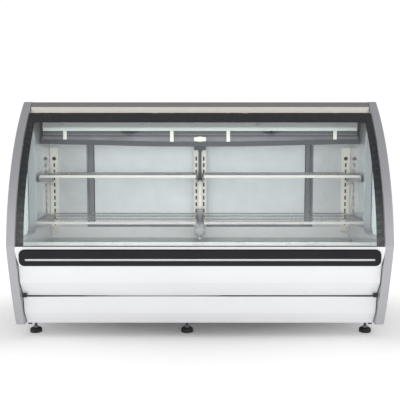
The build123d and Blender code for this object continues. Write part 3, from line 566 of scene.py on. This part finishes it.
def air_grille():
    """Thin bars over upright fins along the foot of the evaporator cover, and the strip behind the pan's lip."""
    low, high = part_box("evaporator_housing")
    front = low.y - 0.0045
    base = low.z + 0.0125
    gaps = [x + offset for x in HANGER_XS for offset in (-HANGER_CLEAR, HANGER_CLEAR)]
    edges = [low.x + 0.004, *gaps, high.x - 0.004]
    work = bmesh.new()
    for start, stop in zip(edges[::2], edges[1::2]):
        for height in (base, base + 0.02):
            slab(work, (start, front, height), (stop, low.y, height + 0.0025), 0.0006)
        count = int((stop - start) / 0.01)
        for index in range(count + 1):
            x = start + index * (stop - start) / count
            slab(work, (x - 0.0006, front + 0.0012, base + 0.001), (x + 0.0006, low.y, base + 0.0215), 0)
    keep(work, "air_grille", "bracket_grey")
    work = bmesh.new()
    pan_low, pan_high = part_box("drip_pan")
    strip_low = (pan_low.x + 0.006, pan_low.y + 0.006, pan_high.z - 0.022)
    slab(work, strip_low, (pan_high.x - 0.006, pan_low.y + 0.008, low.z - 0.0005), 0.0005)
    keep(work, "splash_strip", "door_frame_grey")


def lamp_pieces():
    """Metal caps at the ends of the lamp, the diffuser along its housing's lip, and the housing's screws."""
    low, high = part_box("lamp_tube")
    y = (low.y + high.y) / 2
    z = (low.z + high.z) / 2
    work = bmesh.new()
    for side in (-1, 1):
        end = (side * high.x, y, z)
        outline = [(0.0094, -0.0), (0.0096, 0.001), (0.0096, 0.014), (0.0092, 0.016), (0.009, 0.0165)]
        lathe(work, end, (-side, 0, 0), outline)
    keep(work, "lamp_caps", "clamp_aluminium")
    low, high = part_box("lamp_housing")
    work = bmesh.new()
    slab(work, (-0.899, low.y + 0.0045, LAMP_LIP_LOW), (0.899, low.y + 0.0075, LAMP_LIP_HIGH), 0.001)
    keep(work, "lamp_diffuser", "lamp_white")
    work = bmesh.new()
    for x in (-0.79, -0.33, 0.33, 0.79):
        screw(work, (x, low.y + 0.0045, low.z + 0.034), (0, -0.94, 0.33), 0.0032)
    keep(work, "lamp_housing_screws", "hinge_steel")


def seam_strips():
    """The seam between the front panels: a dark strip of painted shade in the gap, deeper at its ends, and the pale
    filler over it.
    """
    upper_low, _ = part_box("upper_front_panel")
    _, lower_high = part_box("lower_front_panel")
    half = lower_high.x - 0.024
    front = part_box("lower_front_panel")[0].y - 0.0012
    middle = (upper_low.z + lower_high.z) / 2
    steps = 40
    stations = []
    for step in range(steps + 1):
        x = -half + 2 * half * step / steps
        away = abs(x) / half
        tall = 0.0009 + 0.0046 * max(0.0, away - 0.2) ** 1.2
        stations.append((x, front, front + 0.016, middle - tall, middle + tall))
    # A dark strip standing for the shade in the gap, widest towards the ends.
    work = bmesh.new()
    ribbon(work, stations)
    keep(work, "seam_shade_strip", "clip_black")
    middle += 0.0004
    stations = []
    for step in range(steps + 1):
        along = step / steps
        tall = 0.0022 * max(0.0, math.sin(math.pi * along)) ** 0.6 + 0.0002
        stations.append((-0.62 + 0.74 * along, front - 0.001, front + 0.01, middle - tall, middle + tall))
    work = bmesh.new()
    ribbon(work, stations)
    keep(work, "seam_filler", "lamp_housing_grey")


def door_pieces(side):
    """Glazing beads on both faces of a leaf's pane, and the screws in its frame."""
    frame_low, frame_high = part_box(f"{side}_door_frame")
    pane_low, pane_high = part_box(f"{side}_door_glass")
    body = f"{side}_door"
    work = bmesh.new()
    for y_low, y_high in ((pane_low.y - 0.002, pane_low.y), (pane_high.y, pane_high.y + 0.002)):
        wide = 0.005
        slab(work, (pane_low.x, y_low, pane_low.z), (pane_high.x, y_high, pane_low.z + wide))
        slab(work, (pane_low.x, y_low, pane_high.z - wide), (pane_high.x, y_high, pane_high.z))
        for x in (pane_low.x, pane_high.x - wide):
            slab(work, (x, y_low, pane_low.z + wide), (x + wide, y_high, pane_high.z - wide))
    keep(work, f"{side}_door_beads", "seal_rubber", body)
    outer = frame_low.x + 0.017 if side == "left" else frame_high.x - 0.017
    track_rear = frame_high.y - 0.003
    work = bmesh.new()
    for height in (0.69, 0.87):
        screw(work, (outer, track_rear, height), BACK, 0.0032)
    for x in (frame_low.x + 0.017, frame_high.x - 0.017):
        for height in (frame_low.z + 0.012, frame_high.z - 0.012):
            screw(work, (x, track_rear, height), BACK, 0.0028)
    keep(work, f"{side}_door_screws", "hinge_steel", body)


def door_surround():
    """The trim round the opening on the rear wall."""
    low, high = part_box("door_frame")
    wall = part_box("rear_wall_panels")[1].y
    wide = 0.026
    work = bmesh.new()
    for x in (low.x - wide, high.x):
        slab(work, (x, wall, low.z + 0.002), (x + wide, wall + 0.002, high.z + wide), 0.001)
    slab(work, (low.x, wall, high.z), (high.x, wall + 0.002, high.z + wide), 0.001)
    keep(work, "door_surround", "door_frame_grey")
    work = bmesh.new()
    for x in (low.x - wide / 2, high.x + wide / 2):
        for step in range(5):
            screw(work, (x, wall + 0.002, low.z + 0.04 + step * (high.z - low.z - 0.04) / 4), BACK, 0.0034)
    for step in range(1, 6):
        screw(work, (low.x + step * (high.x - low.x) / 6, wall + 0.002, high.z + wide / 2), BACK, 0.0034)
    keep(work, "surround_screws", "hinge_steel")


def rear_fixings():
    """Screws of the rear panel and control plate, and the blank plate with its rivets."""
    low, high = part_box("rear_panel")
    plate_low, plate_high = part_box("control_panel")
    sheet = low.y + 0.002
    work = bmesh.new()
    for x in (low.x + 0.02, -0.3, 0.3, high.x - 0.02):
        for height in (low.z + 0.016, high.z - 0.012):
            screw(work, (x, sheet, height), BACK, 0.0042)
    for x in (low.x + 0.02, high.x - 0.02):
        screw(work, (x, sheet, (low.z + high.z) / 2), BACK, 0.0042)
    for x in (plate_low.x + 0.01, plate_high.x - 0.01):
        for height in (plate_low.z + 0.01, plate_high.z - 0.01):
            screw(work, (x, plate_high.y, height), BACK, 0.003)
    keep(work, "rear_screws", "hinge_steel")
    work = bmesh.new()
    slab(work, (-0.905, sheet, 0.3), (-0.815, sheet + 0.0012, 0.352), 0.0005)
    for x in (-0.9, -0.82):
        for height in (0.305, 0.347):
            lathe(work, (x, sheet + 0.0011, height), BACK, [(0.0022, 0), (0.0019, 0.0008), (0.0006, 0.0013)], 16)
    keep(work, "blank_plate", "clamp_aluminium")


def roof_details():
    """Folded hems round the roof sheet, its joints, and the screws along the fascia's flange."""
    low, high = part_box("roof")
    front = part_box("top_fascia")[1].y
    top = high.z
    work = bmesh.new()
    for x in (low.x, high.x - 0.014):
        slab(work, (x, front + 0.001, top), (x + 0.014, high.y, top + 0.0012), 0.0005)
    slab(work, (low.x + 0.015, high.y - 0.016, top), (high.x - 0.015, high.y, top + 0.0012), 0.0005)
    for x in (-0.318, 0.318):
        slab(work, (x - 0.009, front + 0.001, top), (x + 0.009, high.y - 0.017, top + 0.0009), 0.0004)
    keep(work, "roof_hems", "roof_steel")
    work = bmesh.new()
    for step in range(9):
        screw(work, (low.x + 0.05 + step * (high.x - low.x - 0.1) / 8, front - 0.012, top), UP, 0.0034)
    for step in range(5):
        for x in (low.x + 0.007, high.x - 0.007):
            screw(work, (x, front + 0.04 + step * (high.y - front - 0.08) / 4, top + 0.0012), UP, 0.0026)
    keep(work, "roof_screws", "hinge_steel")


def window_beads():
    """Rubber bead round each side pane, where it meets its rebate."""
    glass = nodes["side_glasses"].data
    edge = max(vertex.co.x for vertex in glass.vertices)
    rim = {(round(v.co.y, 5), round(v.co.z, 5)) for v in glass.vertices if v.co.x > edge - 1e-4}
    centre_y = sum(y for y, _ in rim) / len(rim)
    centre_z = sum(z for _, z in rim) / len(rim)
    rim = sorted(rim, key=lambda point: math.atan2(point[1] - centre_z, point[0] - centre_y))
    for name, side in (("left_window_bead", -1), ("right_window_bead", 1)):
        work = bmesh.new()
        tube(work, [(side * edge, y, z) for y, z in rim], 0.0028, 8, closed=True)
        keep(work, name, "seal_rubber")


def standard_details():
    """Dark plates inside the uprights, painted shade seen through their slots, and the screws that hold them."""
    low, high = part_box("shelf_standards")
    work = bmesh.new()
    back = low.y + 0.0034
    uprights = (
        (low.x, low.x + SIDE_UPRIGHT_WIDTH, SIDE_UPRIGHT_TOP),
        (-CENTRE_UPRIGHT_HALF, CENTRE_UPRIGHT_HALF, high.z),
        (high.x - SIDE_UPRIGHT_WIDTH, high.x, SIDE_UPRIGHT_TOP),
    )
    # Each plate is painted shade: it darkens what shows through the slots.
    for x_low, x_high, top in uprights:
        slab(work, (x_low + 0.003, back, low.z + 0.003), (x_high - 0.003, back + 0.004, top - 0.003), 0)
    keep(work, "standard_slot_shade", "motor_black")
    work = bmesh.new()
    for x in (low.x + 0.011, -low.x - 0.012, 0.0):
        for height in (low.z + 0.02, low.z + 0.3):
            screw(work, (x, low.y, height), FRONT, 0.003)
    keep(work, "standard_screws", "hinge_steel")


def foot_pieces(row, place):
    """A grooved rubber pad under a zinc nut and threaded stem."""
    node = f"foot_{row}_{place}"
    low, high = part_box(node)
    x = (low.x + high.x) / 2
    y = (low.y + high.y) / 2
    radius = (high.x - low.x) / 2
    outline = [(radius - 0.006, 0.0), (radius - 0.0015, 0.0015), (radius, 0.005), (radius, 0.012)]
    outline += [(radius - 0.0015, 0.013), (radius - 0.0015, 0.0145), (radius, 0.016), (radius - 0.001, 0.02)]
    outline += [(radius - 0.004, 0.0245), (radius - 0.009, 0.0268), (radius - 0.014, 0.0275), (0.0125, 0.0275)]
    work = bmesh.new()
    lathe(work, (x, y, 0), UP, outline, 40)
    keep(work, f"{node}_pad", "foot_black", node, replaces=node)
    nut = FOOT_NUT_LOW
    outline = [(0.0125, nut), (0.0138, 0.0278), (0.0138, 0.0362), (0.0125, 0.037), (0.008, 0.0371)]
    stem = 0.038
    while stem < high.z - 0.004:
        outline += [(0.008, stem), (0.0068, stem + 0.001)]
        stem += 0.002
    outline.append((0.006, high.z))
    work = bmesh.new()
    lathe(work, (x, y, 0), UP, outline, 24, socket=(0, 1, 2, 3))
    keep(work, f"{node}_stem", "frame_galvanised", node)


wire_rack("upper_shelves", "upper_rack")
wire_rack("lower_shelves", "lower_rack")
drain_pieces()
fan_guards()
air_grille()
lamp_pieces()
seam_strips()
door_pieces("left")
door_pieces("right")
door_surround()
rear_fixings()
roof_details()
window_beads()
standard_details()
for row in ("front", "rear"):
    for place in ("left", "middle", "right"):
        foot_pieces(row, place)


# ---------------------------------------------------------------- studio

FLOOR_HALF = 40.0


def studio_floor():
    mesh = bpy.data.meshes.new("studio_floor")
    half = FLOOR_HALF
    mesh.from_pydata([(-half, -half, 0), (half, -half, 0), (half, half, 0), (-half, half, 0)], [], [(0, 1, 2, 3)])
    floor = bpy.data.objects.new("studio_floor", mesh)
    bpy.context.scene.collection.objects.link(floor)
    surface = Surface("studio_floor", (0.9, 0.9, 0.9, 1.0), 0.7, Specular_IOR_Level=0.0)
    surface.colours(surface.noise(0.6), (0.9, 0.895, 0.89, 1.0), (0.93, 0.925, 0.92, 1.0))
    surface.shader.inputs["Emission Color"].default_value = (1.0, 0.995, 0.99, 1.0)
    # The floor's glow fades towards the case: a painted shadow under it, added to the real one.
    painted_shadow_near_case = surface.node("ShaderNodeTexGradient", gradient_type="SPHERICAL")
    surface.link(surface.place((0.46, 0.8, 1)), painted_shadow_near_case.inputs["Vector"])
    glow_with_painted_shadow = surface.spread(painted_shadow_near_case.outputs["Fac"], 0.62, 0.08, 0.0, 0.8)
    surface.link(glow_with_painted_shadow, surface.shader.inputs["Emission Strength"])
    mesh.materials.append(surface.material)


def area_light(name, location, target, width, height, power):
    data = bpy.data.lights.new(name, "AREA")
    data.shape = "RECTANGLE"
    data.size = width
    data.size_y = height
    data.energy = power
    light = bpy.data.objects.new(name, data)
    light.location = location
    light.rotation_euler = (Vector(target) - Vector(location)).to_track_quat("-Z", "Y").to_euler()
    light.visible_glossy = False
    light.visible_camera = False
    bpy.context.scene.collection.objects.link(light)


def studio_lights():
    """A white sweep that darkens towards the ceiling, soft lights in front and overhead, and two in the case."""
    world = bpy.data.worlds.new("studio")
    world.use_nodes = True
    tree = world.node_tree
    direction = tree.nodes.new("ShaderNodeTexCoord")
    split = tree.nodes.new("ShaderNodeSeparateXYZ")
    ramp = tree.nodes.new("ShaderNodeValToRGB")
    stops = ramp.color_ramp.elements
    stops[0].position = 0.3
    stops[0].color = (1.0, 1.0, 1.0, 1.0)
    stops[1].position = 0.62
    stops[1].color = (0.3, 0.3, 0.31, 1.0)
    tree.links.new(direction.outputs["Generated"], split.inputs["Vector"])
    tree.links.new(split.outputs["Z"], ramp.inputs["Fac"])
    tree.links.new(ramp.outputs["Color"], tree.nodes["Background"].inputs["Color"])
    tree.nodes["Background"].inputs["Strength"].default_value = 1.02
    bpy.context.scene.world = world
    area_light("front", (0.0, -6.0, 1.6), (0.0, 0.0, 0.8), 5.0, 2.4, 60.0)
    area_light("overhead", (0.0, -0.8, 5.5), (0.0, 0.0, 0.0), 5.0, 4.0, 44.0)
    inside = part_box("front_belt")[1].y + 0.12
    area_light("inside", (0.0, inside, 0.92), (0.0, inside + 1.0, 0.5), 1.8, 0.4, 4.6)
    area_light("sill", (0.0, inside, 0.78), (0.0, inside - 0.02, 0.5), 1.8, 0.06, 1.2)


def camera():
    """The viewpoint: a little below the roof, in front of the middle, tipped slightly down."""
    belt_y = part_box("left_end_panel")[0][1]
    data = bpy.data.cameras.new("camera")
    data.lens = 59.5
    data.sensor_width = 36.0
    data.clip_end = 100.0
    eye = bpy.data.objects.new("camera", data)
    eye.location = (0.0, belt_y - 3.363, 1.08)
    eye.rotation_euler = (math.radians(90 - 5.19), 0.0, 0.0)
    bpy.context.scene.collection.objects.link(eye)
    bpy.context.scene.camera = eye


studio_floor()
studio_lights()
camera()
bpy.context.scene.view_settings.view_transform = "Standard"
